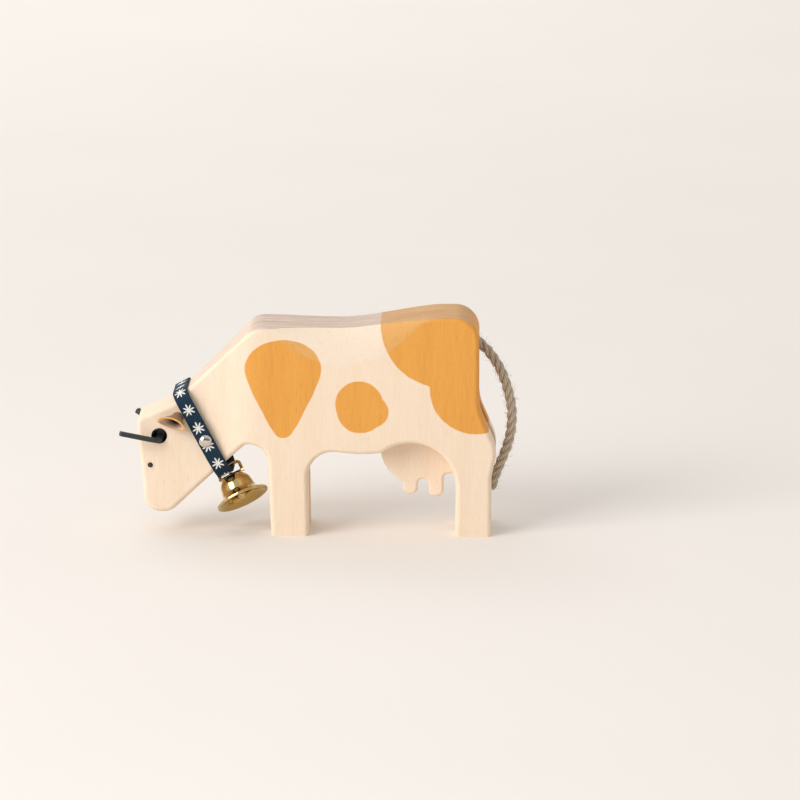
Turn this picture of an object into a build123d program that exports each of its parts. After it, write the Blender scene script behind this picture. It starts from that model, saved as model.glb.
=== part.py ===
from build123d import *
import math
import os

# Carved wooden cow, grazing. X runs from the head to the tail, Z is up from the soles,
# and Y = 0 is the middle of the board. The cow's left side is at negative Y. Millimetres.

# Carved board
body_length = 162.2
body_height = 101.0
board_thickness = 36.0
head_thickness = 24.8
edge_round = 2.2
neck_leg_clear = 3.0
neck_poll_clear = 5.0
neck_blend_share = 0.34
neck_curve_share = 0.9
overrun = 4.0
glue_gap = 0.05
edge_room_share = 0.995

# Corners of the side outline which other pieces stand by: share of the length, share of the
# height, corner radius as a share of the height
shoulder_shares = (-0.1473, 0.9495, 0.0891)
poll_shares = (-0.3755, 0.5960, 0.0594)
jaw_shares = (-0.3847, 0.0960, 0.0792)
brisket_shares = (-0.1739, 0.4158, 0.0248)
fore_leg_shares = (-0.1147, 0.4158, 0.0822)

# Side outline, from the hind hoof up over the back and down the head
body_shares = [
    (0.5117, 0.0000, 0.0000), (0.5117, 0.2723, 0.1188), (0.5277, 0.3911, 0.1386), (0.4766, 0.5792, 0.1980),
    (0.4766, 0.9990, 0.1089), (0.3545, 0.9990, 0.5941), (0.1202, 0.9426, 0.9901), shoulder_shares,
    poll_shares, (-0.4766, 0.5257, 0.0347), (-0.4760, 0.4356, 0.3960), (-0.4612, 0.2376, 0.2970),
    (-0.4612, 0.0960, 0.0792), jaw_shares, brisket_shares, fore_leg_shares,
    (-0.1023, 0.0000, 0.0000), (0.0025, 0.0000, 0.0000), (-0.0012, 0.3960, 0.1139), (0.1480, 0.3713, 0.5941),
    (0.2072, 0.3802, 0.0297), (0.4162, 0.6248, 0.2089), (0.4100, 0.0000, 0.0000),
]

# Hollow sanded into each loin by a large drum
loin_radius = 134.0
loin_depth = 4.4
loin_tilt = 14.5
loin_share = 0.096
loin_top_share = 0.9446

# Slots that part the left legs from the right ones; the hind one also holds the udder
udder_thickness = 11.0
hind_slot_shares = [
    (0.1911, -0.0396, 0.0000), (0.5857, -0.0396, 0.0000), (0.5857, 0.6139, 0.0000),
    (0.4809, 0.5891, 0.2970), (0.3576, 0.4950, 0.2970), (0.1911, 0.4554, 0.0495),
]
fore_slot_from_share = -0.16
fore_slot_to_share = 0.05
fore_slot_top_share = 0.33

# Udder plate with two teats
udder_round = 1.4
udder_shares = [
    (0.1930, 0.4505, 0.0446), (0.3570, 0.4911, 0.2772), (0.4316, 0.5475, 0.0198), (0.4316, 0.3020, 0.0198),
    (0.4100, 0.2653, 0.0297), (0.3773, 0.2564, 0.0198), (0.3773, 0.1554, 0.0327), (0.3354, 0.1554, 0.0327),
    (0.3354, 0.2366, 0.0228), (0.3058, 0.2366, 0.0228), (0.3058, 0.1653, 0.0327), (0.2639, 0.1653, 0.0327),
    (0.2639, 0.2218, 0.0119), (0.2158, 0.2802, 0.1386), (0.1930, 0.4010, 0.0396),
]

# Eye pins
eye_shares = (-0.4408, 0.3129)
eye_diameter = 2.3
eye_depth = 4.0
eye_dome = 0.7

# Horns: the two ends of one strap that is threaded through the head
horn_shares = (-0.4149, 0.4465)
horn_hole = 7.0
strap_width = 3.0
strap_thickness = 2.1
strap_edge_round = 0.6
strap_bend_radius = 5.0
strap_stand = 3.2
strap_clear = 0.3
left_horn_spread = 20.89
right_horn_spread = 20.86
left_horn_reach = 17.05
left_horn_rise = 4.6
right_horn_reach = 12.2
right_horn_rise = 6.6

# Leather ears
ear_shares = (-0.3667, 0.5237)
ear_root = 5.4
ear_plug = 5.0
ear_stand = 1.2
ear_length = 6.3
ear_mouth_width = 13.4
ear_mouth_height = 8.6
ear_wall = 0.9
ear_waist_share = 0.45
ear_waist_width_share = 0.72
ear_rake = 42.0
ear_forward = 18.0
ear_droop = 16.0
ear_roll = 9.0

# Rope tail: its middle line, from the bottom of its hole to the cut end
tail_diameter = 4.6
tail_bend_share = 0.45
tail_hole_clear = 0.35
tail_route = [
    (70.9, 0, 92.1), (78.6, 0, 85.7), (85.9, 0, 76.6), (90.4, 0, 65.2), (92.6, 0, 53.6),
    (91.3, 0, 41.5), (86.9, 0, 30.2), (83.9, 0, 23.0), (83.0, 0, 18.6),
]

# Ribbon collar, a loop that hangs from the crest of the neck
ribbon_width = 7.0
ribbon_thickness = 0.8
collar_tilt = 28.0
collar_seat_share = 0.178
collar_clear = 0.3
throat_clear = 2.92
neck_side_clear = 0.3
collar_top_round = 5.0
collar_bottom_round = 7.5
lap_length = 16.0

# Rivet that closes the lap
rivet_drop = 24.3
rivet_head = 5.8
rivet_rim = 0.4
rivet_height = 1.6
rivet_dome_share = 0.6
rivet_dome_radius = 3.6
rivet_shank = 2.0
rivet_back_diameter = 4.6
rivet_back_thickness = 0.5

# Bell
bell_sway = 25.0
bell_shift = 0.9
bow_wire = 1.5
bow_inner_width = 9.6
bow_window = 2.4
bow_corner = 1.2
bow_hang_gap = 0.2
bow_base_width = 2.4
bow_base_thickness = 0.9
bell_height = 12.2
bell_mouth = 24.6
bell_crown = 13.6
bell_waist = 16.4
bell_waist_share = 0.74
bell_wall = 0.8
bell_lip = 1.0
bell_crown_round = 5.2
bell_flare_round = 3.4
bell_lip_round = 0.35

# Rivet through bow and crown, with the clapper's eye below
pin_shank = 1.6
pin_head = 2.2
pin_head_height = 0.5
eye_ring = 3.2
eye_plate = 1.0
eye_hole = 1.4
eye_drop = 1.7

# Clapper
clapper_wire_diameter = 0.9
clapper_ring = 3.0
clapper_arm = 6.8
clapper_ball_diameter = 4.8
clapper_seat = 1.2


# Cylinders and boxes that stand on their place, or hang from it
standing = (Align.CENTER, Align.CENTER, Align.MIN)
hanging = (Align.CENTER, Align.CENTER, Align.MAX)


def rounded(points, radii):
    """Closed face through the points, each corner rounded as far as its edges leave room."""
    spots = [Vector(*point) for point in points]
    count = len(spots)
    fitted = list(radii)
    slopes = []
    for here in range(count):
        back = spots[here - 1] - spots[here]
        ahead = spots[(here + 1) % count] - spots[here]
        slopes.append(math.tan(math.radians(180 - back.get_angle(ahead)) / 2))
    for here in range(count):
        following = (here + 1) % count
        room = (spots[following] - spots[here]).length * edge_room_share
        wanted = radii[here] * slopes[here] + radii[following] * slopes[following]
        if wanted > room:
            fitted[here] = min(fitted[here], radii[here] * room / wanted)
            fitted[following] = min(fitted[following], radii[following] * room / wanted)
    return make_face(FilletPolyline(*points, radius=fitted, close=True))


def side_face(shares):
    """Outline in the board's middle plane, from shares of its length and height."""
    points = [(body_length * along, body_height * up) for along, up, _ in shares]
    radii = [body_height * bend for _, _, bend in shares]
    return Plane.XZ * rounded(points, radii)


def spot(shares, side, depth):
    """Point at a share of the length and height, on the given side at the given depth."""
    return Vector(body_length * shares[0], side * depth, body_height * shares[1])


def plan_face():
    """The board from above: full thickness at the trunk, hollowed down to the neck and head."""
    half = board_thickness / 2
    slim = head_thickness / 2
    start = spot(fore_leg_shares, 0, 0).X - neck_leg_clear
    end = spot(poll_shares, 0, 0).X + neck_poll_clear
    slope = 2 * math.atan2(half - slim, start - end)
    slant = (half - slim) / math.sin(slope)
    blend = slant * neck_blend_share
    hollow = slant - blend
    left = [(body_length, half), (start - blend, half), (end + hollow, slim), (-body_length, slim)]
    right = [(along, -across) for along, across in reversed(left)]
    reach = neck_curve_share / math.tan(slope / 2)
    bends = [0, blend * reach, hollow * reach, 0]
    return rounded(left + right, bends + bends[::-1])


def outline_edges(solid, face, side):
    """Edges where one side of the board meets its outline, apart from those at the soles."""
    rim = face.face().outer_wire()
    near = edge_round * glue_gap
    chosen = []
    for edge in solid.edges():
        middle = edge @ 0.5
        beside = side * middle.Y > head_thickness / 4
        raised = middle.Z > edge_round
        if beside and raised and rim.distance_to(Vector(middle.X, 0, middle.Z)) < near:
            chosen.append(edge)
    return chosen


def loin_drum(side):
    """Large drum, leaning inwards at the top, that hollows one loin."""
    lean = math.radians(loin_tilt)
    upward = Vector(0, -side * math.sin(lean), math.cos(lean))
    outward = Vector(0, side * math.cos(lean), math.sin(lean))
    deepest = spot((loin_share, loin_top_share), side, board_thickness / 2 - loin_depth)
    return Plane(deepest + outward * loin_radius, z_dir=upward) * Cylinder(loin_radius, body_height)


def fore_slot():
    half = udder_thickness / 2
    top = body_height * fore_slot_top_share
    start = body_length * fore_slot_from_share
    length = body_length * (fore_slot_to_share - fore_slot_from_share)
    arch = rounded([(-half, -overrun), (half, -overrun), (half, top), (-half, top)], [0, 0, half, half])
    return extrude(Plane((start, 0, 0), x_dir=(0, 1, 0), z_dir=(1, 0, 0)) * arch, length)


def hind_slot():
    return extrude(side_face(hind_slot_shares), udder_thickness / 2, both=True)


def ear_plane():
    """Ear's root on the left side: Z runs outwards along the ear, X along its mouth."""
    swing = math.radians(ear_forward)
    droop = math.radians(ear_droop)
    roll = math.radians(ear_roll)
    outward = Vector(-math.sin(swing), -math.cos(swing) * math.cos(droop), -math.sin(droop))
    root = spot(ear_shares, -1, head_thickness / 2 + ear_stand)
    return Plane(root, x_dir=(math.cos(roll), 0, -math.sin(roll)), z_dir=outward)


def drilled(plane, diameter, depth):
    """Round hole from the plane's origin, down along its Z, with room for glue."""
    radius = diameter / 2 + glue_gap
    length = depth + overrun
    return plane * Pos(0, 0, overrun - length / 2) * Cylinder(radius, length)


def tail_path():
    spots = [Vector(*point) for point in tail_route]
    radii = []
    for before, here, after in zip(spots, spots[1:], spots[2:]):
        turn = math.radians((here - before).get_angle(after - here))
        run = min((here - before).length, (after - here).length)
        radii.append(run * tail_bend_share / math.tan(turn / 2))
    return FilletPolyline(*tail_route, radius=radii), radii


def tail_plane():
    """Mouth of the tail's hole, looking out of it."""
    start = Vector(*tail_route[0])
    ahead = Vector(*tail_route[1])
    return Plane(start, z_dir=ahead - start)


def make_body():
    face = side_face(body_shares)
    board = extrude(face, board_thickness, both=True)
    plan = extrude(Pos(0, 0, -overrun) * plan_face(), body_height + 2 * overrun)
    body = board & plan
    for side in (-1, 1):
        body = fillet(outline_edges(body, face, side), edge_round)
    for side in (-1, 1):
        body -= loin_drum(side)
    body -= hind_slot()
    body -= fore_slot()
    across = Plane(spot(horn_shares, 0, 0), z_dir=(0, 1, 0))
    body -= across * Cylinder(horn_hole / 2, board_thickness)
    ear_holes = drilled(ear_plane(), ear_root, ear_plug + ear_stand)
    body -= ear_holes
    body -= mirror(ear_holes, about=Plane.XZ)
    eye_seat = Plane(spot(eye_shares, -1, head_thickness / 2), z_dir=(0, -1, 0))
    eye_holes = drilled(eye_seat, eye_diameter, eye_depth)
    body -= eye_holes
    body -= mirror(eye_holes, about=Plane.XZ)
    body -= tail_plane() * Cylinder(tail_diameter / 2 + tail_hole_clear, body_height, align=standing)
    return body


def make_udder():
    plate = extrude(side_face(udder_shares), udder_thickness / 2 - glue_gap, both=True)
    half = udder_thickness / 2 - glue_gap
    top = body_height * body_shares[-4][1]
    rim = []
    for edge in plate.edges():
        middle = edge @ 0.5
        if abs(middle.Y) > half / 2 and middle.Z < top:
            rim.append(edge)
    return fillet(rim, udder_round)


def make_eye():
    seat = Plane(spot(eye_shares, -1, head_thickness / 2), z_dir=(0, -1, 0))
    radius = eye_diameter / 2
    points = [(0, -eye_depth), (radius, -eye_depth), (radius, eye_dome), (0, eye_dome)]
    pin = revolve(Plane.XZ * rounded(points, [0, 0, eye_dome, 0]), axis=Axis.Z)
    return seat * pin


def make_horn_strap():
    middle = spot(horn_shares, 0, 0)
    radius = horn_hole / 2
    drop = math.sqrt(radius**2 - (strap_width / 2) ** 2) - strap_thickness / 2 - strap_clear
    bend = head_thickness / 2 + strap_stand
    inside = middle - Vector(0, 0, drop)
    left_bend = inside - Vector(0, bend, 0)
    right_bend = inside + Vector(0, bend, 0)
    left_tip = inside + Vector(-left_horn_reach, -left_horn_spread, left_horn_rise)
    right_tip = inside + Vector(-right_horn_reach, right_horn_spread, right_horn_rise)
    path = FilletPolyline(left_tip, left_bend, right_bend, right_tip, radius=strap_bend_radius)
    start = Plane(path @ 0, x_dir=(0, 0, 1), z_dir=path % 0)
    return sweep(start * RectangleRounded(strap_thickness, strap_width, strap_edge_round), path=path)


def ear_hollow(width, height, root, start, end):
    """Funnel from a round root to an oval mouth, drawn in at the waist."""
    waist = start + (end - start) * ear_waist_share
    middle = Ellipse(width / 2 * ear_waist_width_share, height / 2 * ear_waist_width_share)
    mouth = Ellipse(width / 2, height / 2)
    return loft([Pos(0, 0, start) * Circle(root / 2), Pos(0, 0, waist) * middle, Pos(0, 0, end) * mouth])


def make_ear():
    funnel = ear_hollow(ear_mouth_width, ear_mouth_height, ear_root, 0, ear_length)
    inner_width = ear_mouth_width - 2 * ear_wall
    inner_height = ear_mouth_height - 2 * ear_wall
    throat = ear_root - 2 * ear_wall
    ear = funnel - ear_hollow(inner_width, inner_height, throat, 0, ear_length)
    trim = Pos(0, 0, ear_length) * Rot(ear_rake, 0, 0) * Pos(0, -ear_mouth_width, ear_mouth_width)
    ear -= trim * Box(2 * ear_mouth_width, 2 * ear_mouth_width, 2 * ear_mouth_width)
    ear += Cylinder(ear_root / 2, ear_plug, align=hanging) - Cylinder(throat / 2, 2 * ear_plug)
    return ear_plane() * ear


def make_tail():
    path, radii = tail_path()
    print("tail bends, mm:", [round(radius, 1) for radius in radii])
    rope = sweep(Plane(path @ 0, z_dir=path % 0) * Circle(tail_diameter / 2), path=path)
    plain = math.pi * tail_diameter**2 / 4 * path.length
    print("tail length, mm:", round(path.length, 1), "volume over plain tube:", round(rope.volume / plain, 5))
    return rope


# Collar and bell stand on these directions: along the ribbon's width, and down the collar
ribbon_lean = math.radians(collar_tilt)
width_way = Vector(math.cos(ribbon_lean), 0, math.sin(ribbon_lean))
drop_way = Vector(math.sin(ribbon_lean), 0, -math.cos(ribbon_lean))


def collar_plane():
    """Middle of the ribbon's inner face at the crest: X across the neck, Y up the collar."""
    poll = spot(poll_shares, 0, 0)
    neck = spot(shoulder_shares, 0, 0) - poll
    off_neck = Vector(-neck.Z, 0, neck.X).normalized()
    rear = poll + neck * collar_seat_share + off_neck * collar_clear
    return Plane(rear - width_way * (ribbon_width / 2), x_dir=(0, 1, 0), z_dir=width_way)


def neck_depth():
    """Way down the collar from its crest to the line of the throat."""
    crest = collar_plane().origin
    jaw = spot(jaw_shares, 0, 0)
    throat = spot(brisket_shares, 0, 0) - jaw
    off_throat = Vector(-throat.Z, 0, throat.X)
    return (jaw - crest).dot(off_throat) / drop_way.dot(off_throat)


def neck_width(along):
    """Thickness of the carved neck at one place along the cow."""
    cut = plan_face() & Line((along, -board_thickness), (along, board_thickness))
    return sum(edge.length for edge in cut.edges())


collar_drop = neck_depth() + throat_clear + bow_wire + bow_hang_gap
throat_rear = collar_plane().origin + drop_way * (neck_depth() - edge_round) + width_way * (ribbon_width / 2)
collar_inner_width = neck_width(throat_rear.X) + 2 * neck_side_clear


def loop_face(margin):
    half = collar_inner_width / 2 + margin
    points = [(-half, margin), (half, margin), (half, -collar_drop - margin), (-half, -collar_drop - margin)]
    top = collar_top_round + margin
    bottom = collar_bottom_round + margin
    return rounded(points, [top, top, bottom, bottom])


def rivet_plane():
    """Outside of the lap on the left side, looking away from the neck."""
    outside = -collar_inner_width / 2 - 2 * ribbon_thickness
    seat = collar_plane().from_local_coords(Vector(outside, -rivet_drop, 0))
    return Plane(seat, x_dir=width_way, z_dir=(0, -1, 0))


def make_collar():
    outside = -collar_inner_width / 2 - 2 * ribbon_thickness
    lap = Pos(outside + ribbon_thickness, -rivet_drop) * Rectangle(2 * ribbon_thickness, lap_length)
    band = loop_face(ribbon_thickness) + lap - loop_face(0)
    ribbon = collar_plane() * extrude(band, ribbon_width / 2, both=True)
    return ribbon - rivet_plane() * Cylinder(rivet_shank / 2 + glue_gap, 2 * overrun)


def make_rivet_cap():
    radius = rivet_head / 2
    shank = rivet_shank / 2
    deep = 2 * ribbon_thickness + rivet_back_thickness
    points = [
        (0, -deep), (shank, -deep), (shank, 0), (radius, 0), (radius, rivet_rim),
        (radius * rivet_dome_share, rivet_height), (0, rivet_height),
    ]
    profile = rounded(points, [0, 0, 0, 0, rivet_rim, rivet_dome_radius, 0])
    return rivet_plane() * revolve(Plane.XZ * profile, axis=Axis.Z)


def make_rivet_back():
    seat = Pos(0, 0, -2 * ribbon_thickness)
    washer = Cylinder(rivet_back_diameter / 2, rivet_back_thickness, align=hanging)
    washer -= Cylinder(rivet_shank / 2 + glue_gap, 2 * overrun)
    return rivet_plane() * seat * washer


bow_radius = bow_wire / 2
base_top = -bow_radius - bow_hang_gap - ribbon_thickness - bow_window
crown_top = base_top - bow_base_thickness
eye_level = crown_top - bell_wall - eye_drop


def bow_pivot():
    """Middle of the bow's top wire, just above the bottom of the ribbon loop."""
    bottom = collar_plane().origin + drop_way * collar_drop
    return bottom - drop_way * (bow_radius + bow_hang_gap) + width_way * bell_shift


def bell_plane():
    """Pivot of the bell: X along the ribbon's width, Z up the bell's axis as it hangs."""
    sway = math.radians(bell_sway)
    axis = drop_way * math.cos(sway) - Vector(0, math.sin(sway), 0)
    return Plane(bow_pivot(), x_dir=width_way, z_dir=axis * -1)


def make_bell_cup():
    crown = bell_crown / 2
    waist = bell_waist / 2
    mouth = bell_mouth / 2
    low = -bell_height
    bend = low * bell_waist_share
    shoulder = low + bell_lip
    points = [
        (0, 0), (crown, 0), (waist, bend), (mouth, shoulder), (mouth, low), (mouth - bell_lip, low),
        (waist - bell_wall, bend - bell_wall), (crown - bell_wall, -bell_wall), (0, -bell_wall),
    ]
    inner_round = bell_crown_round - bell_wall
    radii = [0, bell_crown_round, bell_flare_round, bell_lip_round, bell_lip_round, bell_lip_round,
             bell_flare_round + bell_wall, inner_round, 0]
    cup = revolve(Plane.XZ * rounded(points, radii), axis=Axis.Z)
    cup -= Cylinder(pin_shank / 2 + glue_gap, 2 * overrun)
    return bell_plane() * Pos(0, 0, crown_top) * cup


def make_bell_bow():
    half = bow_inner_width / 2 + bow_radius
    low = base_top - bow_base_thickness / 2
    path = Plane.XZ * FilletPolyline((-half, low), (-half, 0), (half, 0), (half, low), radius=bow_corner)
    wire = sweep(Plane(path @ 0, z_dir=path % 0) * Circle(bow_radius), path=path)
    span = 2 * half + bow_wire
    base = Pos(0, 0, low) * Box(span, bow_base_width, bow_base_thickness)
    bow = wire + base
    return bell_plane() * (bow - Cylinder(pin_shank / 2 + glue_gap, 4 * bow_inner_width))


def make_bell_pin():
    head = Pos(0, 0, base_top) * Cylinder(pin_head / 2, pin_head_height, align=standing)
    shank_length = base_top - eye_level
    shank = Pos(0, 0, base_top) * Cylinder(pin_shank / 2, shank_length - eye_hole, align=hanging)
    across = Plane((0, 0, eye_level), z_dir=(1, 0, 0))
    disc = across * Cylinder(eye_ring / 2, eye_plate)
    collar = Pos(0, 0, crown_top - bell_wall)
    neck = collar * Box(eye_plate, pin_shank, eye_drop, align=hanging)
    pin = head + shank + neck + disc
    pin -= across * Cylinder(eye_hole / 2, 2 * eye_ring)
    return bell_plane() * pin


def clapper_plane():
    """Eye of the bell's pin, with Z straight up the collar's plane."""
    eye = bell_plane().from_local_coords(Vector(0, 0, eye_level))
    return Plane(eye, x_dir=width_way, z_dir=drop_way * -1)


def make_clapper_wire():
    ring_radius = clapper_ring / 2
    upright = Plane((0, 0, -ring_radius), x_dir=(1, 0, 0), z_dir=(0, 1, 0))
    ring = upright * Torus(ring_radius, clapper_wire_diameter / 2)
    low = clapper_arm - clapper_ball_diameter / 2 + clapper_seat
    shank = Pos(0, 0, -clapper_ring) * Cylinder(clapper_wire_diameter / 2, low - clapper_ring, align=hanging)
    return clapper_plane() * (ring + shank)


def make_clapper_ball():
    ball = Pos(0, 0, -clapper_arm) * Sphere(clapper_ball_diameter / 2)
    low = clapper_arm - clapper_ball_diameter / 2 + clapper_seat
    socket = Pos(0, 0, -low) * Cylinder(clapper_wire_diameter / 2 + glue_gap, clapper_arm, align=standing)
    return clapper_plane() * (ball - socket)


left_ear = make_ear()
left_eye = make_eye()
nodes = {
    "body": make_body(),
    "udder": make_udder(),
    "left_ear": left_ear,
    "right_ear": mirror(left_ear, about=Plane.XZ),
    "left_eye": left_eye,
    "right_eye": mirror(left_eye, about=Plane.XZ),
    "horn_strap": make_horn_strap(),
    "tail_rope": make_tail(),
    "collar_ribbon": make_collar(),
    "rivet_cap": make_rivet_cap(),
    "rivet_back": make_rivet_back(),
    "bell_cup": make_bell_cup(),
    "bell_bow": make_bell_bow(),
    "bell_pin": make_bell_pin(),
    "clapper_wire": make_clapper_wire(),
    "clapper_ball": make_clapper_ball(),
}
os.makedirs("parts", exist_ok=True)
for name, solid in nodes.items():
    export_step(solid, os.path.join("parts", name + ".step"))
pivot = bow_pivot()
eye = clapper_plane().origin
crest = collar_plane().origin
print("bow pivot", [round(value, 4) for value in pivot])
print("clapper eye", [round(value, 4) for value in eye])
print("collar crest", [round(value, 4) for value in crest])
print("ribbon width direction", [round(value, 6) for value in width_way])
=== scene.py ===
# %% [markdown]
# # A wooden cow with a ribbon collar and a brass bell
#
# The CAD model of the cow is loaded as a fixed frame. Each CAD piece is then dressed
# for the picture: wood, leather, rope, ribbon and metal, all made from nodes.

# %% Load the frame
import math

import bmesh
import bpy
from mathutils import Matrix, Vector


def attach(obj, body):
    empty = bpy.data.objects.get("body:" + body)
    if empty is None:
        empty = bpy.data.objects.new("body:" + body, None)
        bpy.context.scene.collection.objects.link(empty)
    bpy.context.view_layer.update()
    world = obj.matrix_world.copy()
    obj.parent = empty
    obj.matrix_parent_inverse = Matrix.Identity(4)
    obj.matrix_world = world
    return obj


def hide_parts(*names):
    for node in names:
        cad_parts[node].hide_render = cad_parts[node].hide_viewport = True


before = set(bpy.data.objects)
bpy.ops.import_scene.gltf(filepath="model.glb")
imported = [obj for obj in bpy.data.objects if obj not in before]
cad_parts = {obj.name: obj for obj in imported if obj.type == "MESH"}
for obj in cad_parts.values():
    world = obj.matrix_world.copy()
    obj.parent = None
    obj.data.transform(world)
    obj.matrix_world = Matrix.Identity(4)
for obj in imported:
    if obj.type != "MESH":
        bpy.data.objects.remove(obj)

scene = bpy.context.scene
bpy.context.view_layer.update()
mm = 0.001
full_turn = 2 * math.pi

# %% [markdown]
# ## Small helpers for node trees
#
# `put` adds a node, chooses its settings and feeds its inputs. A feed is either a plain
# value or the output socket of another node. Most of the other helpers add one node each
# and hand back its output, so that a formula can be written as nested calls.


# %% Node helpers
def put(tree, kind, feeds=None, **settings):
    node = tree.nodes.new(kind)
    for key, value in settings.items():
        setattr(node, key, value)
    for name, feed in (feeds or {}).items():
        if isinstance(feed, bpy.types.NodeSocket):
            tree.links.new(feed, node.inputs[name])
        else:
            node.inputs[name].default_value = feed
    return node


def calc(tree, operation, *values):
    feeds = dict(enumerate(values))
    return put(tree, "ShaderNodeMath", feeds, operation=operation).outputs[0]


def weighted_sum(tree, first, first_share, second, second_share):
    part = calc(tree, "MULTIPLY", first, first_share)
    return calc(tree, "ADD", part, calc(tree, "MULTIPLY", second, second_share))


def from_wave(tree, wave):
    """A wave of -1 to 1 as a share of 0 to 1."""
    return calc(tree, "MULTIPLY_ADD", wave, 0.5, 0.5)


def vector_calc(tree, operation, *values):
    feeds = dict(enumerate(values))
    return put(tree, "ShaderNodeVectorMath", feeds, operation=operation).outputs[0]


def scaled(tree, direction, amount):
    feeds = {0: direction, "Scale": amount}
    return put(tree, "ShaderNodeVectorMath", feeds, operation="SCALE").outputs[0]


def split(tree, vector):
    return put(tree, "ShaderNodeSeparateXYZ", {0: vector}).outputs


def join(tree, x=0.0, y=0.0, z=0.0):
    return put(tree, "ShaderNodeCombineXYZ", {0: x, 1: y, 2: z}).outputs[0]


def ease(tree, value, start, end):
    """0 before the start, 1 after the end, and a soft step between them."""
    feeds = {"Value": value, "From Min": start, "From Max": end}
    return put(tree, "ShaderNodeMapRange", feeds, interpolation_type="SMOOTHSTEP").outputs[0]


def blend(tree, share, first, second):
    feeds = {0: share, 6: first, 7: second}
    return put(tree, "ShaderNodeMix", feeds, data_type="RGBA").outputs[2]


def cloud(tree, place, stretch, detail):
    """Noise whose grain is stretched: big numbers make it fine along that direction."""
    spread = vector_calc(tree, "MULTIPLY", place, stretch)
    feeds = {"Vector": spread, "Scale": 1.0, "Detail": detail}
    return put(tree, "ShaderNodeTexNoise", feeds).outputs[0]


def stored(tree, name, output="Fac"):
    """A number or vector that was stored on the mesh under a name."""
    return put(tree, "ShaderNodeAttribute", attribute_name=name).outputs[output]


# %% Finish helpers
def new_finish(name):
    finish = bpy.data.materials.new(name)
    finish.use_nodes = True
    tree = finish.node_tree
    return finish, tree, tree.nodes["Principled BSDF"]


def millimetres(tree):
    """Place on the object in millimetres, which the noises below are stretched by."""
    place = put(tree, "ShaderNodeTexCoord").outputs["Object"]
    return vector_calc(tree, "MULTIPLY", place, (1000, 1000, 1000))


def coat(tree, surface, colour, roughness):
    tree.links.new(colour, surface.inputs["Base Color"])
    surface.inputs["Roughness"].default_value = roughness


def relief(tree, surface, height, depth, strength):
    feeds = {"Height": height, "Strength": strength, "Distance": depth}
    tree.links.new(put(tree, "ShaderNodeBump", feeds).outputs[0], surface.inputs["Normal"])


# %% [markdown]
# ## Wood
#
# The grain stands upright in the board, so the sides show fine upright streaks and short
# flecks, and the top of the back shows end grain, except on the head's top, which keeps the
# pale side colour as painted light where the lamp falls on it. The ochre stain is a set of
# shapes seen from the side: each shape gives a distance from its edge, and noise makes that
# edge a little ragged. The inside of the horn hole is painted dark as shade. Lengths in these
# cells are in millimetres.

# %% Wood colours and grain
pale_wood = (0.905, 0.745, 0.585, 1)
streak_wood = (0.85, 0.67, 0.495, 1)
fleck_wood = (0.83, 0.65, 0.485, 1)
scoop_wood = (0.89, 0.755, 0.615, 1)
end_wood = (0.79, 0.64, 0.53, 1)
end_line = (0.55, 0.41, 0.32, 1)
# The next colour is painted shade for the inside of the horn hole.
hole_painted_shade = (0.05, 0.035, 0.025, 1)
stain = (0.81, 0.372, 0.063, 1)
stain_streak = (0.72, 0.305, 0.046, 1)
stain_fleck = (0.7, 0.295, 0.042, 1)
stain_scoop = (0.76, 0.4, 0.12, 1)
stain_end = (0.72, 0.43, 0.2, 1)
stain_line = (0.55, 0.28, 0.1, 1)

fine_grain, fine_detail, fine_share = (2.6, 2.6, 0.08), 5.0, 0.65
broad_grain, broad_detail, broad_share = (0.2, 0.2, 0.012), 2.0, 0.4
fleck_grain, fleck_detail = (1.5, 1.5, 0.28), 2.0
ring_grain, ring_detail = (0.03, 1.3, 0.03), 5.0
pore_grain, pore_detail = (0.35, 3.2, 0.35), 3.0
edge_grain, edge_detail = (0.3, 0.3, 0.12), 3.0
streak_step, fleck_step = (0.41, 0.79), (0.56, 0.78)
ring_step, pore_step = (0.38, 0.62), (0.3, 0.55)
facing_up = (0.5, 0.93)

# %% Places on the board
board_half = 18
# Forward of this range the head's top keeps the pale side colour as painted light.
head_top_painted_light = (-64, -46)
loin_front, loin_back, loin_floor = (-19, -17), (56, 54), (66, 70)
scoop_depth = (0.03, 0.16)
horn_hole = (-67.3, 45.1, 3.6)
flank_spots = [(23.2, 61, 10.7), (23.9, 58.6, 10.8), (29.4, 57.5, 7.1)]
rump_spots = [(62, 97.7, 29), (75.9, 68.3, 20.8)]
flank_join, rump_join = 0.5, 2
edge_rag, edge_soft, hole_shade_soft = 0.6, 0.22, 0.05
drop_low, drop_high, drop_half, drop_middle = 45.4, 90.5, 17.2, -11
drop_shape = [
    (0.018, 0.145), (0.08, 0.276), (0.2, 0.46), (0.32, 0.618), (0.45, 0.79),
    (0.57, 0.92), (0.63, 0.974), (0.69, 1.0), (0.75, 0.987), (0.815, 0.92),
    (0.875, 0.816), (0.915, 0.69), (0.956, 0.513), (0.985, 0.27),
]


# %% Stained patches
def round_spot(tree, flat, x, z, radius):
    """Distance from the edge of a round spot, less than zero inside it."""
    feeds = {0: flat, 1: (x, 0, z)}
    away = put(tree, "ShaderNodeVectorMath", feeds, operation="DISTANCE").outputs["Value"]
    return calc(tree, "SUBTRACT", away, radius)


def teardrop(tree, x, z):
    """The shoulder patch, whose half-width at each height is drawn as a curve."""
    feeds = {"Value": z, "From Min": drop_low, "From Max": drop_high}
    height = put(tree, "ShaderNodeMapRange", feeds).outputs[0]
    outline = put(tree, "ShaderNodeFloatCurve", {"Value": height})
    points = outline.mapping.curves[0].points
    points[0].location = (0, 0)
    points[1].location = (1, 0)
    for spot in drop_shape:
        points.new(*spot)
    outline.mapping.update()
    half_width = calc(tree, "MULTIPLY", outline.outputs[0], drop_half)
    from_middle = calc(tree, "ABSOLUTE", calc(tree, "SUBTRACT", x, drop_middle))
    beside = calc(tree, "SUBTRACT", from_middle, half_width)
    above, below = calc(tree, "SUBTRACT", z, drop_high), calc(tree, "SUBTRACT", drop_low, z)
    return calc(tree, "MAXIMUM", beside, calc(tree, "MAXIMUM", above, below))


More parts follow.
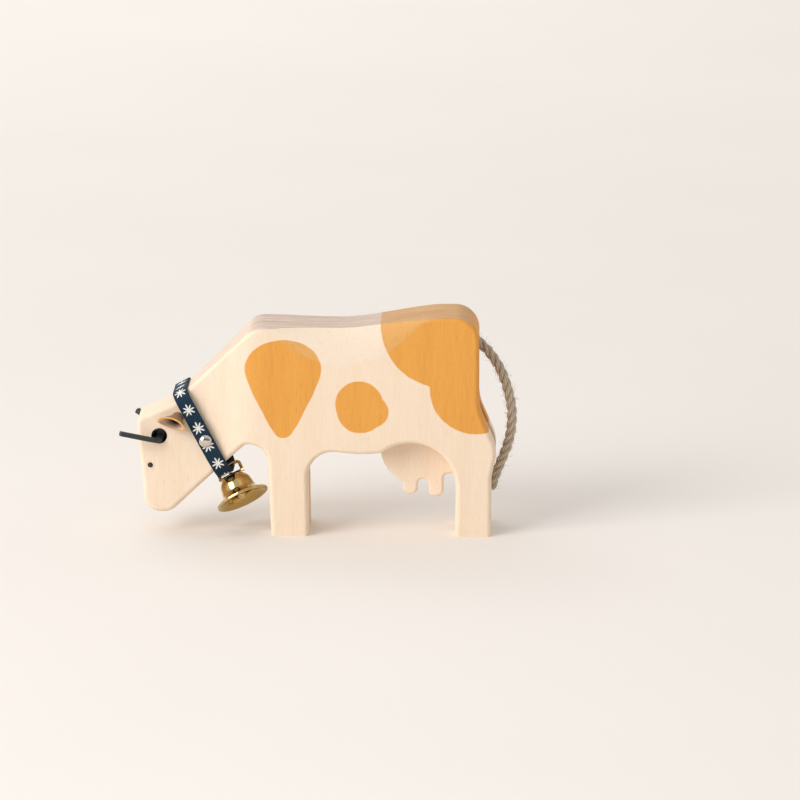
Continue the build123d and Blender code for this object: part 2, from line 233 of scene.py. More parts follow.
def patches(tree, place, flat, x, z):
    upper, lower, bump = [round_spot(tree, flat, *spot) for spot in flank_spots]
    flank = calc(tree, "SMOOTH_MIN", calc(tree, "MINIMUM", upper, lower), bump, flank_join)
    upper, lower = [round_spot(tree, flat, *spot) for spot in rump_spots]
    rump = calc(tree, "SMOOTH_MIN", upper, lower, rump_join)
    nearest = calc(tree, "MINIMUM", calc(tree, "MINIMUM", flank, rump), teardrop(tree, x, z))
    ragged = calc(tree, "SUBTRACT", cloud(tree, place, edge_grain, edge_detail), 0.5)
    edge = calc(tree, "ADD", nearest, calc(tree, "MULTIPLY", ragged, edge_rag))
    return ease(tree, edge, edge_soft, -edge_soft)


# %% Wood finish
def scooped_loin(tree, x, y, z):
    """1 where the drum has hollowed the loin below the board's flat side."""
    depth = calc(tree, "SUBTRACT", board_half, calc(tree, "ABSOLUTE", y))
    along = calc(tree, "MULTIPLY", ease(tree, x, *loin_front), ease(tree, x, *loin_back))
    loin = calc(tree, "MULTIPLY", ease(tree, z, *loin_floor), along)
    return calc(tree, "MULTIPLY", ease(tree, depth, *scoop_depth), loin)


def wood(name, stained):
    finish, tree, surface = new_finish(name)
    place = millimetres(tree)
    x, y, z = split(tree, place)
    up = split(tree, put(tree, "ShaderNodeNewGeometry").outputs["True Normal"])[2]
    fine = cloud(tree, place, fine_grain, fine_detail)
    broad = cloud(tree, place, broad_grain, broad_detail)
    rings = cloud(tree, place, ring_grain, ring_detail)
    pores = cloud(tree, place, pore_grain, pore_detail)
    streaks = weighted_sum(tree, fine, fine_share, broad, broad_share)
    streaks = ease(tree, streaks, *streak_step)
    flecks = ease(tree, cloud(tree, place, fleck_grain, fleck_detail), *fleck_step)
    lines = calc(tree, "MULTIPLY", ease(tree, rings, *ring_step), ease(tree, pores, *pore_step))
    # Towards the head the end grain fades out, so the head's top keeps the pale side colour as painted
    # light where the lamp falls on it.
    end = calc(tree, "MULTIPLY", ease(tree, up, *facing_up), ease(tree, x, *head_top_painted_light))
    scooped = scooped_loin(tree, x, y, z)

    def grained(plain, streak, scoop, fleck, line, top):
        side = blend(tree, streaks, plain, streak)
        side = blend(tree, scooped, side, scoop)
        side = blend(tree, flecks, side, fleck)
        return blend(tree, end, side, blend(tree, lines, line, top))

    colour = grained(pale_wood, streak_wood, scoop_wood, fleck_wood, end_line, end_wood)
    if stained:
        ochre = grained(stain, stain_streak, stain_scoop, stain_fleck, stain_line, stain_end)
        flat = vector_calc(tree, "MULTIPLY", place, (1, 0, 1))
        colour = blend(tree, patches(tree, place, flat, x, z), colour, ochre)
        # Inside the horn hole the wood is painted nearly black as shade.
        hole_shade = ease(tree, round_spot(tree, flat, *horn_hole), hole_shade_soft, -hole_shade_soft)
        colour = blend(tree, hole_shade, colour, hole_painted_shade)
    coat(tree, surface, colour, roughness=0.62)
    relief(tree, surface, calc(tree, "ADD", fine, rings), depth=0.06 * mm, strength=0.5)
    return finish


stained_wood = wood("stained_wood", True)
plain_wood = wood("plain_wood", False)

# %% [markdown]
# ## Leather, metal and black paint
#
# Leather gets a pebbled relief from a Voronoi texture. Metal is a Principled surface with
# Metallic at 1 and a noise that varies how polished it is. Where the mesh says that it is
# hollow, as inside the bell, the metal is tarnished.

# %% Leather and metal finishes
dull_to_bright = (0.35, 0.7)


def leather(name, light, dark):
    finish, tree, surface = new_finish(name)
    place = millimetres(tree)
    voronoi = put(tree, "ShaderNodeTexVoronoi", {"Vector": place, "Scale": 2.2})
    wear = cloud(tree, place, stretch=(0.8, 0.8, 0.8), detail=4.0)
    coat(tree, surface, blend(tree, wear, dark, light), roughness=0.6)
    relief(tree, surface, voronoi.outputs["Distance"], depth=0.08 * mm, strength=0.6)
    return finish


def metal(name, bright, dull, tarnish, smoothest, roughest):
    finish, tree, surface = new_finish(name)
    wear = cloud(tree, millimetres(tree), stretch=(0.25, 0.25, 0.25), detail=2.0)
    tint = blend(tree, ease(tree, wear, *dull_to_bright), dull, bright)
    colour = blend(tree, stored(tree, "hollow"), tint, tarnish)
    tree.links.new(colour, surface.inputs["Base Color"])
    surface.inputs["Metallic"].default_value = 1.0
    feeds = {"Value": wear, "To Min": smoothest, "To Max": roughest}
    polish = put(tree, "ShaderNodeMapRange", feeds).outputs[0]
    tree.links.new(polish, surface.inputs["Roughness"])
    return finish


horn_black = leather("horn_black", light=(0.045, 0.05, 0.055, 1), dark=(0.02, 0.022, 0.026, 1))
eye_paint = leather("eye_paint", light=(0.03, 0.03, 0.033, 1), dark=(0.018, 0.018, 0.02, 1))
brass = metal(
    "brass", bright=(0.75, 0.56, 0.24, 1), dull=(0.55, 0.385, 0.15, 1),
    tarnish=(0.5, 0.35, 0.12, 1), smoothest=0.05, roughest=0.13,
)
nickel = metal(
    "nickel", bright=(0.82, 0.77, 0.71, 1), dull=(0.62, 0.58, 0.53, 1),
    tarnish=(0.4, 0.37, 0.34, 1), smoothest=0.03, roughest=0.1,
)

# %% [markdown]
# ## Smooth copies of the CAD pieces
#
# A CAD piece arrives as loose triangles. A copy is welded and shaded smooth, except where
# two faces meet at a sharp angle. In the shading a triangle counts with the area of the
# whole flat side it belongs to, so that flat sides stay flat up to their rounded edges.
# The copy then stands in for the CAD piece.

# %% Smooth shading
weld_gap = 0.002 * mm
smooth_limit = math.cos(math.radians(35))
same_plane = 0.999999


def flat_areas(shell):
    """Area of the whole flat side that each triangle belongs to."""
    areas = {}
    for seed in shell.faces:
        if seed in areas:
            continue
        side, waiting = {seed}, [seed]
        while waiting:
            for edge in waiting.pop().edges:
                level = {face for face in edge.link_faces if face.normal.dot(seed.normal) > same_plane}
                waiting += level - side
                side |= level
        areas.update(dict.fromkeys(side, sum(face.calc_area() for face in side)))
    return areas


def smooth_normals(shell):
    """One normal for each corner of each face, from the faces that meet smoothly there."""
    areas = flat_areas(shell)
    normals = []
    for face in shell.faces:
        for corner in face.loops:
            around = corner.vert.link_faces
            meeting = [other for other in around if other.normal.dot(face.normal) > smooth_limit]
            total = sum((other.normal * areas[other] for other in meeting), Vector())
            normals.append(total.normalized())
    return normals


def settle(piece, body, slot, *nodes):
    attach(piece, body)
    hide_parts(*nodes)
    return piece


def smooth_copy(node, name, body, slot, finish, reshape=None):
    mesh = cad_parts[node].data.copy()
    mesh.name = name
    shell = bmesh.new()
    shell.from_mesh(mesh)
    bmesh.ops.remove_doubles(shell, verts=shell.verts, dist=weld_gap)
    if reshape:
        reshape(shell)
    shell.to_mesh(mesh)
    mesh.shade_smooth()
    mesh.normals_split_custom_set(smooth_normals(shell))
    shell.free()
    mesh.materials.clear()
    mesh.materials.append(finish)
    piece = bpy.data.objects.new(name, mesh)
    scene.collection.objects.link(piece)
    return settle(piece, body, slot, node)


# %% [markdown]
# The horns are the two ends of one strap. A leather strap that is pulled through a round
# hole spreads and curls up at its edges there, so no light shows past it. The strap is cut
# across at a few places, and the part inside the hole is widened and curled.

# %% Strap in its hole
strap_middle = horn_hole[0] * mm
strap_half, strap_curl, strap_spread = 1.5 * mm, 0.3 * mm, 0.5
strap_free, strap_full = 11.5 * mm, 9 * mm


def spread_in_hole(shell):
    for level in (-strap_free, -strap_full, strap_full, strap_free):
        whole = [*shell.verts, *shell.edges, *shell.faces]
        bmesh.ops.bisect_plane(shell, geom=whole, plane_co=(0, level, 0), plane_no=(0, 1, 0))
    for vert in shell.verts:
        share = (strap_free - abs(vert.co.y)) / (strap_free - strap_full)
        inside = min(max(share, 0), 1)
        aside = vert.co.x - strap_middle
        vert.co.z += inside * strap_curl * (aside / strap_half) ** 2
        vert.co.x += inside * strap_spread * aside
    shell.normal_update()


# %% Copy the hard pieces
smooth_copy("body", "carved_body", "cow", "wood", stained_wood)
smooth_copy("udder", "udder_plate", "cow", "wood", plain_wood)
smooth_copy("left_eye", "near_eye", "cow", "eye_black", eye_paint)
smooth_copy("right_eye", "far_eye", "cow", "eye_black", eye_paint)
smooth_copy("horn_strap", "horns", "cow", "horn_leather", horn_black, reshape=spread_in_hole)
smooth_copy("rivet_cap", "rivet_dome", "collar", "rivet_metal", nickel)
smooth_copy("rivet_back", "rivet_washer", "collar", "rivet_metal", nickel)
bell = smooth_copy("bell_cup", "bell", "bell", "bell_brass", brass)
smooth_copy("bell_bow", "bell_stirrup", "bell", "bell_brass", brass)
smooth_copy("bell_pin", "bell_rivet", "bell", "bell_brass", brass)
smooth_copy("clapper_wire", "clapper_hook", "clapper", "clapper_metal", brass)
smooth_copy("clapper_ball", "clapper_bead", "clapper", "clapper_metal", brass)

# %% [markdown]
# A face of the bell is inside when it points towards the bell's axis and towards the mouth.

# %% Tarnish the inside of the bell
bell_hang = Vector((-37.0797, 0, 28.4175)) * mm
bell_eye = Vector((-33.8673, -3.1908, 22.3758)) * mm
bell_axis = (bell_eye - bell_hang).normalized()
mouth_lean, inside_limit = 0.5, -0.2
hollow = bell.data.attributes.new("hollow", "FLOAT", "FACE")
for face in bell.data.polygons:
    out = face.center - bell_eye
    spread = out - out.dot(bell_axis) * bell_axis
    outward = spread.normalized() - mouth_lean * bell_axis
    hollow.data[face.index].value = face.normal.dot(outward) < inside_limit

# %% [markdown]
# ## Ears with a cut edge
#
# The leather is dyed brown outside and raw inside, and its cut edge is orange. Deep in the
# cone, towards its root, the raw inside is painted dark as shade. Each corner of the ear is
# told which of these it is from the way its face points and where it lies, and the numbers
# go into an attribute that the finish reads.

# %% Ear finish
dye_dark, dye_light = (0.24, 0.13, 0.065, 1), (0.42, 0.26, 0.15, 1)
suede_dark, suede_light = (0.5, 0.34, 0.24, 1), (0.8, 0.62, 0.49, 1)
# The next colour is painted shade deep inside the ear's cone.
suede_painted_shade = (0.035, 0.018, 0.01, 1)
cut_dark, cut_light = (0.6, 0.27, 0.07, 1), (0.85, 0.45, 0.14, 1)


def ear_finish():
    finish, tree, surface = new_finish("ear_hide")
    place = millimetres(tree)
    inside, rim, shade_share = split(tree, stored(tree, "zone", "Vector"))
    mottle = cloud(tree, place, stretch=(0.9, 0.9, 0.9), detail=4.0)
    nap = cloud(tree, place, stretch=(4.0, 4.0, 4.0), detail=2.0)
    dyed = blend(tree, mottle, dye_dark, dye_light)
    # Deep in the cone the suede is darkened as painted shade.
    suede = blend(tree, shade_share, blend(tree, nap, suede_dark, suede_light), suede_painted_shade)
    cut = blend(tree, mottle, cut_dark, cut_light)
    colour = blend(tree, rim, blend(tree, inside, dyed, suede), cut)
    coat(tree, surface, colour, roughness=0.75)
    relief(tree, surface, nap, depth=0.08 * mm, strength=0.5)
    return finish


# %% Ears
ear_hide = ear_finish()
ear_root = Vector((-59.479, -13.6, 52.894)) * mm
ear_reach = 6.3 * mm
ear_out = Vector((-0.309, -0.9142, -0.2756)).normalized()
ear_tilt, ear_rake = math.radians(9), math.radians(42)
ear_wide = Vector((math.cos(ear_tilt), 0, -math.sin(ear_tilt)))
ear_up = ear_out.cross(ear_wide).normalized()
lip_way = math.cos(ear_rake) * ear_out - math.sin(ear_rake) * ear_up
rim_gap = 0.02 * mm
shade_reach = 0.55 * ear_reach


def mark_ear(piece, side):
    """Store on each corner: inside or not, on the rim or not, and how much painted shade it gets deep
    in the cone.
    """
    flip = Vector((1, side, 1))
    mesh = piece.data
    zone = mesh.attributes.new("zone", "FLOAT_VECTOR", "CORNER")
    for face in mesh.polygons:
        out = face.center * flip - ear_root
        spread = out - out.dot(ear_out) * ear_out
        mouth = out - ear_reach * ear_out
        inside = (face.normal * flip).dot(spread) < 0
        rim = min(abs(mouth.dot(ear_out)), abs(mouth.dot(lip_way))) < rim_gap
        for corner in face.loop_indices:
            point = mesh.vertices[mesh.loops[corner].vertex_index].co * flip - ear_root
            shade_share = 1 - min(max(point.dot(ear_out) / shade_reach, 0), 1)
            zone.data[corner].vector = (inside, rim, shade_share)


for side, node, name in ((1, "left_ear", "near_ear"), (-1, "right_ear", "far_ear")):
    mark_ear(smooth_copy(node, name, "cow", "ear_leather", ear_hide), side)

# %% [markdown]
# ## Geometry Nodes helpers
#
# A tree gets named inputs. `grow` runs it on an empty mesh, keeps the mesh it makes and
# takes the modifier off again, so that what is left is a plain mesh object.

# %% Geometry Nodes helpers
grown_sharp = math.radians(40)


def new_tree(name, inputs):
    tree = bpy.data.node_groups.new(name, "GeometryNodeTree")
    tree.interface.new_socket("Geometry", in_out="OUTPUT", socket_type="NodeSocketGeometry")
    for label, kind in inputs.items():
        tree.interface.new_socket(label, in_out="INPUT", socket_type="NodeSocket" + kind)
    return tree, put(tree, "NodeGroupInput").outputs


def end_tree(tree, geometry, finish):
    real = put(tree, "GeometryNodeRealizeInstances", {0: geometry}).outputs[0]
    coated = put(tree, "GeometryNodeSetMaterial", {0: real, "Material": finish}).outputs[0]
    put(tree, "NodeGroupOutput", {0: coated})


def grow(name, tree, choices):
    piece = bpy.data.objects.new(name, bpy.data.meshes.new(name))
    scene.collection.objects.link(piece)
    step = piece.modifiers.new(name, "NODES")
    step.node_group = tree
    for socket in tree.interface.items_tree:
        if socket.name in choices:
            step[socket.identifier] = choices[socket.name]
    bpy.context.view_layer.update()
    view = bpy.context.evaluated_depsgraph_get()
    made = bpy.data.meshes.new_from_object(piece.evaluated_get(view))
    piece.modifiers.remove(step)
    piece.data = made
    made.name = name
    made.shade_smooth()
    made.set_sharp_from_angle(angle=grown_sharp)
    return piece


def geometry_of(tree, thing):
    return put(tree, "GeometryNodeObjectInfo", {"Object": thing}).outputs["Geometry"]


def position(tree):
    return put(tree, "GeometryNodeInputPosition").outputs[0]


def store(tree, geometry, name, value, kind="FLOAT"):
    feeds = {"Geometry": geometry, "Name": name, "Value": value}
    return put(tree, "GeometryNodeStoreNamedAttribute", feeds, data_type=kind).outputs[0]


def move(tree, geometry, **goal):
    """Set Position, given either Position or Offset."""
    return put(tree, "GeometryNodeSetPosition", {"Geometry": geometry, **goal}).outputs[0]


def tube(tree, line, ring):
    feeds = {"Curve": line, "Profile Curve": ring, "Fill Caps": True}
    return put(tree, "GeometryNodeCurveToMesh", feeds).outputs[0]


def circle(tree, sides, radius):
    feeds = {"Resolution": sides, "Radius": radius}
    return put(tree, "GeometryNodeCurvePrimitiveCircle", feeds).outputs[0]


def new_line(name, kind):
    curve = bpy.data.curves.new(name, "CURVE")
    curve.dimensions = "3D"
    curve.resolution_u = 16
    line = bpy.data.objects.new(name, curve)
    scene.collection.objects.link(line)
    return line, curve.splines.new(kind)


# %% [markdown]
# ## Tail rope
#
# The rope's line is a NURBS curve through the air behind the rump. Three copies of the
# line are pushed off it in a circle that turns as it goes along, which lays them up
# into a rope, and each copy becomes a round strand.

# %% Tail line
tail_points = [
    (70.9, 0, 92.1), (78.6, 0, 85.7), (85.9, 0, 76.6), (90.4, 0, 65.2), (92.6, 0, 53.6),
    (91.3, 0, 41.5), (86.9, 0, 30.2), (83.9, 0, 23.0), (83.0, 0, 18.6),
]
tail_line, tail_spline = new_line("tail_line", "NURBS")
tail_spline.points.add(len(tail_points) - 1)
for point, spot in zip(tail_spline.points, tail_points):
    point.co = (*(Vector(spot) * mm), 1)
tail_spline.order_u = 3
tail_spline.use_endpoint_u = True
bpy.context.view_layer.update()
drawn = bpy.data.meshes.new_from_object(tail_line)

# %% Rope finish
rope_diameter = 4.6 * mm
strand_count = 3
strand_lay = 1 / math.sin(math.pi / strand_count)
strand_radius = rope_diameter / 2 / (1 + strand_lay)
rope_turn = 13 * mm
yarns_around, yarn_twist = 6, 2600
yarn_share, fibre_share = 0.45, 0.6
hemp_dark, hemp_light = (0.25, 0.2, 0.145, 1), (0.82, 0.7, 0.55, 1)


def hemp():
    finish, tree, surface = new_finish("hemp")
    along, around = stored(tree, "along"), stored(tree, "around")
    turn = weighted_sum(tree, around, full_turn * yarns_around, along, yarn_twist)
    yarns = from_wave(tree, calc(tree, "SINE", turn))
    fibres = cloud(tree, millimetres(tree), stretch=(3.2, 3.2, 1.2), detail=4.0)
    tone = weighted_sum(tree, yarns, yarn_share, fibres, fibre_share)
    coat(tree, surface, blend(tree, tone, hemp_dark, hemp_light), roughness=0.85)
    relief(tree, surface, tone, depth=0.3 * mm, strength=0.9)
    return finish


hemp_finish = hemp()

# %% [markdown]
# Round strands that touch have their middles on a circle. Its radius is the strand's
# radius times `strand_lay`, which follows from the number of strands. The angle of a
# strand on that circle grows along the line, by one full turn for each Turn Length.

# %% Lay the strands
line_steps, strand_sides = 150, 14
rope_tree, given = new_tree("lay_rope", {
    "Line": "Object", "Strands": "Int", "Strand Radius": "Float", "Turn Length": "Float",
    "Finish": "Material",
})
feeds = {"Curve": geometry_of(rope_tree, given["Line"]), "Count": line_steps}
line = put(rope_tree, "GeometryNodeResampleCurve", feeds).outputs[0]
feeds = {"Geometry": line, "Amount": given["Strands"]}
copies = put(rope_tree, "GeometryNodeDuplicateElements", feeds, domain="SPLINE")
run = put(rope_tree, "GeometryNodeSplineParameter").outputs["Length"]
share = calc(rope_tree, "DIVIDE", copies.outputs["Duplicate Index"], given["Strands"])
turns = calc(rope_tree, "ADD", share, calc(rope_tree, "DIVIDE", run, given["Turn Length"]))
angle = calc(rope_tree, "MULTIPLY", turns, full_turn)
lay = calc(rope_tree, "MULTIPLY", given["Strand Radius"], strand_lay)
normal = put(rope_tree, "GeometryNodeInputNormal").outputs[0]
tangent = put(rope_tree, "GeometryNodeInputTangent").outputs[0]
across = vector_calc(rope_tree, "CROSS_PRODUCT", tangent, normal)
first_reach = calc(rope_tree, "MULTIPLY", calc(rope_tree, "COSINE", angle), lay)
second_reach = calc(rope_tree, "MULTIPLY", calc(rope_tree, "SINE", angle), lay)
first = scaled(rope_tree, normal, first_reach)
second = scaled(rope_tree, across, second_reach)
marked = store(rope_tree, copies.outputs[0], "along", run)
laid = move(rope_tree, marked, Offset=vector_calc(rope_tree, "ADD", first, second))
around = put(rope_tree, "GeometryNodeSplineParameter").outputs["Factor"]
ring = store(rope_tree, circle(rope_tree, strand_sides, given["Strand Radius"]), "around", around)
end_tree(rope_tree, tube(rope_tree, laid, ring), given["Finish"])
rope = grow("tail_strands", rope_tree, {
    "Line": tail_line, "Strands": strand_count, "Strand Radius": strand_radius,
    "Turn Length": rope_turn, "Finish": hemp_finish,
})
print("rope", len(rope.data.polygons), "faces")

# %% [markdown]
# Loose fibres stand off the rope. Points are scattered over the strands, and a thin
# bent hair is placed on each, leaning a random way. The hair is drawn a little over a
# metre long, and the tree scales it down by Length and by a random share.

# %% Loose fibres
hair_sides, hair_radius = 3, 0.025
least_lean, most_lean = (-0.7, -0.7, 0), (0.7, 0.7, 6.28)
shortest_share, longest_share = 0.45, 1.3
fibres_per_square_metre = 420000.0
fibre_length = 1.7 * mm
fuzz_tree, given = new_tree("loose_fibres", {
    "Rope": "Object", "Amount": "Float", "Seed": "Int", "Length": "Float", "Finish": "Material",
})
skin = geometry_of(fuzz_tree, given["Rope"])
feeds = {"Mesh": skin, "Density": given["Amount"], "Seed": given["Seed"]}
dots = put(fuzz_tree, "GeometryNodeDistributePointsOnFaces", feeds)
bent = put(fuzz_tree, "GeometryNodeCurvePrimitiveBezierSegment", {
    "Resolution": 5, "Start": (0, 0, 0), "Start Handle": (0, 0, 0.4),
    "End Handle": (0.35, 0, 0.75), "End": (0.9, 0, 0.8),
}).outputs[0]
hair = tube(fuzz_tree, bent, circle(fuzz_tree, hair_sides, hair_radius))
feeds = {0: least_lean, 1: most_lean, "Seed": 4}
spin = put(fuzz_tree, "FunctionNodeRandomValue", feeds, data_type="FLOAT_VECTOR").outputs[0]
feeds = {2: shortest_share, 3: longest_share, "Seed": 9}
share = put(fuzz_tree, "FunctionNodeRandomValue", feeds, data_type="FLOAT").outputs[1]
size = calc(fuzz_tree, "MULTIPLY", share, given["Length"])
feeds = {0: dots.outputs["Rotation"], 1: spin}
lean = put(fuzz_tree, "FunctionNodeRotateRotation", feeds, rotation_space="LOCAL").outputs[0]
hairs = put(fuzz_tree, "GeometryNodeInstanceOnPoints", {
    "Points": dots.outputs[0], "Instance": hair, "Rotation": lean, "Scale": size,
}).outputs[0]
end_tree(fuzz_tree, hairs, given["Finish"])
fuzz = grow("tail_fuzz", fuzz_tree, {
    "Rope": rope, "Amount": fibres_per_square_metre, "Seed": 7, "Length": fibre_length,
    "Finish": hemp_finish,
})
print("fibres", len(fuzz.data.polygons), "faces")

# %% Hang the tail on the cow
settle(rope, "cow", "rope", "tail_rope")
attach(fuzz, "cow")
bpy.data.objects.remove(tail_line)

# %% [markdown]
# ## Ribbon collar
#
# The ribbon is made flat, as it comes off the roll, and then wrapped. Its X runs along
# the ribbon, its Y across and its Z outwards. Wrapping moves each point to the place
# that far along the loop. After one turn the ribbon lies on its own beginning, where
# the rivet holds it. At a corner of the loop, handles of `round_pull` times the radius
# make a Bezier bend that is very nearly round.

# %% Ribbon line
ribbon_wide, ribbon_thick = 7 * mm, 0.8 * mm
lap_length, lap_start = 16 * mm, -32.3 * mm
loop_half, loop_top, loop_bottom = 15.453 * mm, 0.4 * mm, -43.4 * mm
top_round, bottom_round = 5.4 * mm, 7.9 * mm
round_pull = 0.5523
collar_tilt = math.radians(28)
collar_crest = Vector((-57.6162, 0, 65.124)) * mm


def loop_corner(corner, radius, way_in, way_out):
    """Two curve points that round off a corner: where the bend starts and where it ends."""
    start, finish = corner - way_in * radius, corner + way_out * radius
    pull = radius * round_pull
    return [(start, start, start + way_in * pull), (finish, finish - way_out * pull, finish)]


east, north = Vector((1, 0, 0)), Vector((0, 1, 0))
begin = Vector((-loop_half, lap_start, 0))
loop_spots = [(begin, begin, begin)]
loop_spots += loop_corner(Vector((-loop_half, loop_top, 0)), top_round, north, east)
loop_spots += loop_corner(Vector((loop_half, loop_top, 0)), top_round, east, -north)
loop_spots += loop_corner(Vector((loop_half, loop_bottom, 0)), bottom_round, -north, -east)
loop_spots += loop_corner(Vector((-loop_half, loop_bottom, 0)), bottom_round, -east, north)
loop_line, loop_spline = new_line("ribbon_line", "BEZIER")
loop_spline.bezier_points.add(len(loop_spots) - 1)
for point, (spot, before, after) in zip(loop_spline.bezier_points, loop_spots):
    point.handle_left_type = point.handle_right_type = "FREE"
    point.co, point.handle_left, point.handle_right = spot, before, after
loop_spline.use_cyclic_u = True
stand_up = Matrix.Rotation(math.pi / 2, 3, "Z") @ Matrix.Rotation(math.pi / 2, 3, "X")
collar_turn = (Matrix.Rotation(-collar_tilt, 3, "Y") @ stand_up).to_euler()

# %% Wrapping
ramp_thicknesses = 5


def loop_and_length(tree, line):
    loop = geometry_of(tree, line)
    return loop, put(tree, "GeometryNodeCurveLength", {0: loop}).outputs[0]


def wrap(tree, flat, loop, length, thick):
    """Remember each point's place on the flat ribbon, then lay it round the neck."""
    flat = store(tree, flat, "weave", position(tree), "FLOAT_VECTOR")
    x, y, z = split(tree, position(tree))
    feeds = {"Curves": loop, "Length": calc(tree, "MODULO", x, length)}
    spot = put(tree, "GeometryNodeSampleCurve", feeds, mode="LENGTH", use_all_curves=True)
    out = vector_calc(tree, "CROSS_PRODUCT", (0, 0, 1), spot.outputs["Tangent"])
    ramp = calc(tree, "SUBTRACT", length, calc(tree, "MULTIPLY", thick, ramp_thicknesses))
    lift = calc(tree, "MULTIPLY", ease(tree, x, ramp, length), thick)
    outward = scaled(tree, out, calc(tree, "ADD", z, lift))
    on_loop = vector_calc(tree, "ADD", spot.outputs["Position"], outward)
    bent = move(tree, flat, Position=vector_calc(tree, "ADD", on_loop, join(tree, z=y)))
    feeds = {"Geometry": bent, "Translation": collar_crest, "Rotation": collar_turn}
    return put(tree, "GeometryNodeTransform", feeds).outputs[0]


# %% Ribbon finish
def twill(name, dark, light, thread):
    finish, tree, surface = new_finish(name)
    x, y = split(tree, stored(tree, "weave", "Vector"))[:2]
    pitch = full_turn / thread
    diagonal = calc(tree, "SINE", calc(tree, "MULTIPLY", calc(tree, "ADD", x, y), pitch))
    across = calc(tree, "SINE", calc(tree, "MULTIPLY", y, pitch))
    threads = from_wave(tree, calc(tree, "MULTIPLY", diagonal, across))
    coat(tree, surface, blend(tree, threads, dark, light), roughness=0.7)
    surface.inputs["Specular IOR Level"].default_value = 0.2
    relief(tree, surface, threads, depth=0.08 * mm, strength=0.6)
    return finish


navy = twill(
    "navy_ribbon", dark=(0.0055, 0.02, 0.041, 1), light=(0.011, 0.037, 0.07, 1), thread=0.55 * mm,
)
petal_white = twill(
    "petal_white", dark=(0.75, 0.75, 0.73, 1), light=(0.93, 0.93, 0.91, 1), thread=0.4 * mm,
)

# %% Weave the ribbon
ribbon_tree, given = new_tree("wrap_ribbon", {
    "Line": "Object", "Width": "Float", "Thickness": "Float", "Lap": "Float",
    "Finish": "Material",
})
loop, length = loop_and_length(ribbon_tree, given["Line"])
whole = calc(ribbon_tree, "ADD", length, given["Lap"])
size = join(ribbon_tree, whole, given["Width"], given["Thickness"])
feeds = {"Size": size, "Vertices X": 420, "Vertices Y": 9, "Vertices Z": 2}
strip = put(ribbon_tree, "GeometryNodeMeshCube", feeds).outputs[0]
middle = join(ribbon_tree, calc(ribbon_tree, "MULTIPLY", whole, 0.5))
feeds = {"Geometry": strip, "Translation": middle}
strip = put(ribbon_tree, "GeometryNodeTransform", feeds).outputs[0]
wrapped = wrap(ribbon_tree, strip, loop, length, given["Thickness"])
end_tree(ribbon_tree, wrapped, given["Finish"])
ribbon = grow("ribbon", ribbon_tree, {
    "Line": loop_line, "Width": ribbon_wide, "Thickness": ribbon_thick, "Lap": lap_length,
    "Finish": navy,
})
settle(ribbon, "collar", "ribbon", "collar_ribbon")
print("ribbon", len(ribbon.data.polygons), "faces")

# %% [markdown]
# ## Flowers along the ribbon
#
# One flower is a disc whose edge goes in and out eight times. It is repeated along the
# flat ribbon and wrapped with it, so it bends round the corners too.

# %% Flowers
flower_count, flower_radius = 17, 3.05 * mm
first_flower, flower_gap = 5.51 * mm, 9.193 * mm
flower_proud = 0.05 * mm
petal_count, petal_slimness = 8, 2.4
heart_share, petal_share = 0.28, 0.72
uneven_waves, uneven_share = 3, 0.1
flower_tree, given = new_tree("ribbon_flowers", {
    "Line": "Object", "Thickness": "Float", "Start": "Float", "Gap": "Float", "Count": "Int",
    "Radius": "Float", "Finish": "Material",
})
loop, length = loop_and_length(flower_tree, given["Line"])
feeds = {"Vertices": 96, "Radius": 1.0}
disc = put(flower_tree, "GeometryNodeMeshCircle", feeds, fill_type="TRIANGLE_FAN").outputs[0]
disc = put(flower_tree, "GeometryNodeSubdivideMesh", {"Mesh": disc, "Level": 1}).outputs[0]
place = position(flower_tree)
x, y = split(flower_tree, place)[:2]
around = calc(flower_tree, "ARCTAN2", y, x)
swing = calc(flower_tree, "COSINE", calc(flower_tree, "MULTIPLY", around, petal_count / 2))
petal = calc(flower_tree, "POWER", calc(flower_tree, "ABSOLUTE", swing), petal_slimness)
waves = calc(flower_tree, "COSINE", calc(flower_tree, "MULTIPLY", around, uneven_waves))
uneven = calc(flower_tree, "MULTIPLY_ADD", waves, uneven_share, 1 - uneven_share)
longest = calc(flower_tree, "MULTIPLY", uneven, petal_share)
reach = calc(flower_tree, "MULTIPLY_ADD", petal, longest, heart_share)
star = move(flower_tree, disc, Position=scaled(flower_tree, place, reach))
lift = calc(flower_tree, "MULTIPLY_ADD", given["Thickness"], 0.5, flower_proud)
row = put(flower_tree, "GeometryNodeMeshLine", {
    "Count": given["Count"], "Start Location": join(flower_tree, given["Start"], z=lift),
    "Offset": join(flower_tree, given["Gap"]),
}).outputs[0]
feeds = {"Points": row, "Instance": star, "Scale": given["Radius"]}
bed = put(flower_tree, "GeometryNodeInstanceOnPoints", feeds).outputs[0]
bed = put(flower_tree, "GeometryNodeRealizeInstances", {0: bed}).outputs[0]
wrapped = wrap(flower_tree, bed, loop, length, given["Thickness"])
end_tree(flower_tree, wrapped, given["Finish"])
flowers = grow("ribbon_flowers", flower_tree, {
    "Line": loop_line, "Thickness": ribbon_thick, "Start": first_flower, "Gap": flower_gap,
    "Count": flower_count, "Radius": flower_radius, "Finish": petal_white,
})
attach(flowers, "collar")
print("flowers", len(flowers.data.polygons), "faces")
bpy.data.objects.remove(loop_line)

# %% [markdown]
# ## Floor, light and camera
#
# The cow stands on a plain pale floor. A large soft lamp from the left and in front gives
# the shadows their direction, and a second one lights the floor far behind the cow. The
# world fills in the shadows. Low down behind the camera the world is a dim room, which
# the metal mirrors.

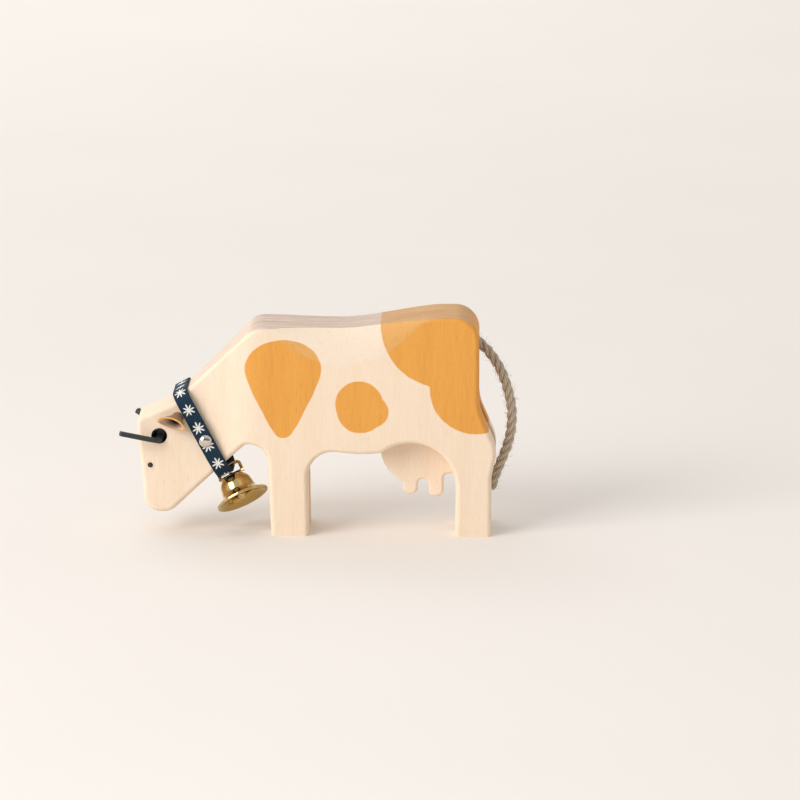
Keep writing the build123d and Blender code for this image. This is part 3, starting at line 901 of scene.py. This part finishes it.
# %% Floor
floor_mesh = bpy.data.meshes.new("floor")
floor_corners = [(-4, -4, 0), (4, -4, 0), (4, 6, 0), (-4, 6, 0)]
floor_mesh.from_pydata(floor_corners, [], [(0, 1, 2, 3)])
floor = bpy.data.objects.new("floor", floor_mesh)
scene.collection.objects.link(floor)
paper_dark, paper_light = (0.86, 0.82, 0.78, 1), (0.9, 0.86, 0.825, 1)
floor_finish, tree, surface = new_finish("paper_floor")
paper = cloud(tree, millimetres(tree), stretch=(0.004, 0.004, 0.004), detail=2.0)
coat(tree, surface, blend(tree, paper, paper_dark, paper_light), roughness=0.9)
surface.inputs["Specular IOR Level"].default_value = 0.1
floor_mesh.materials.append(floor_finish)

# %% World
sky_colour, room_colour = (0.93, 0.915, 0.9, 1), (0.27, 0.25, 0.22, 1)
behind_camera, low_down = (-0.15, -0.85), (0.8, 0.25)
world = bpy.data.worlds.new("studio")
world.use_nodes = True
scene.world = world
tree = world.node_tree
backdrop = tree.nodes["Background"]
way = put(tree, "ShaderNodeTexCoord").outputs["Generated"]
back, height = split(tree, way)[1:]
room = calc(tree, "MULTIPLY", ease(tree, back, *behind_camera), ease(tree, height, *low_down))
tree.links.new(blend(tree, room, sky_colour, room_colour), backdrop.inputs["Color"])
backdrop.inputs["Strength"].default_value = 0.79

# %% Lamps
lamp_colour = (1.0, 0.975, 0.94)


def look_along(holder, way):
    """Turn a lamp or a camera so that it looks along a direction."""
    holder.rotation_euler = way.to_track_quat("-Z", "Y").to_euler()


def soft_lamp(name, place, aim, size, power):
    lamp = bpy.data.lights.new(name, "AREA")
    lamp.shape = "SQUARE"
    lamp.size = size
    lamp.energy = power
    lamp.color = lamp_colour
    holder = bpy.data.objects.new(name, lamp)
    holder.location = place
    look_along(holder, Vector(aim) - Vector(place))
    scene.collection.objects.link(holder)


soft_lamp("window", place=(-1.6, -1.4, 1.0), aim=(0, 0, 0.05), size=1.5, power=40)
soft_lamp("backdrop", place=(-0.9, 2.3, 1.8), aim=(-0.6, 2.4, 0), size=2.0, power=19)

# %% Camera
camera_aim = Vector((41.7, -18, 63.2)) * mm
camera_turn, camera_lift, camera_away = math.radians(1), math.radians(11.8), 2.3
toward = Vector((
    math.sin(camera_turn) * math.cos(camera_lift),
    -math.cos(camera_turn) * math.cos(camera_lift),
    math.sin(camera_lift),
))
eye = bpy.data.objects.new("camera", bpy.data.cameras.new("camera"))
eye.location = camera_aim + camera_away * toward
look_along(eye, -toward)
eye.data.sensor_width = 36
eye.data.lens = 230
scene.collection.objects.link(eye)
scene.camera = eye
scene.view_settings.view_transform = "Standard"
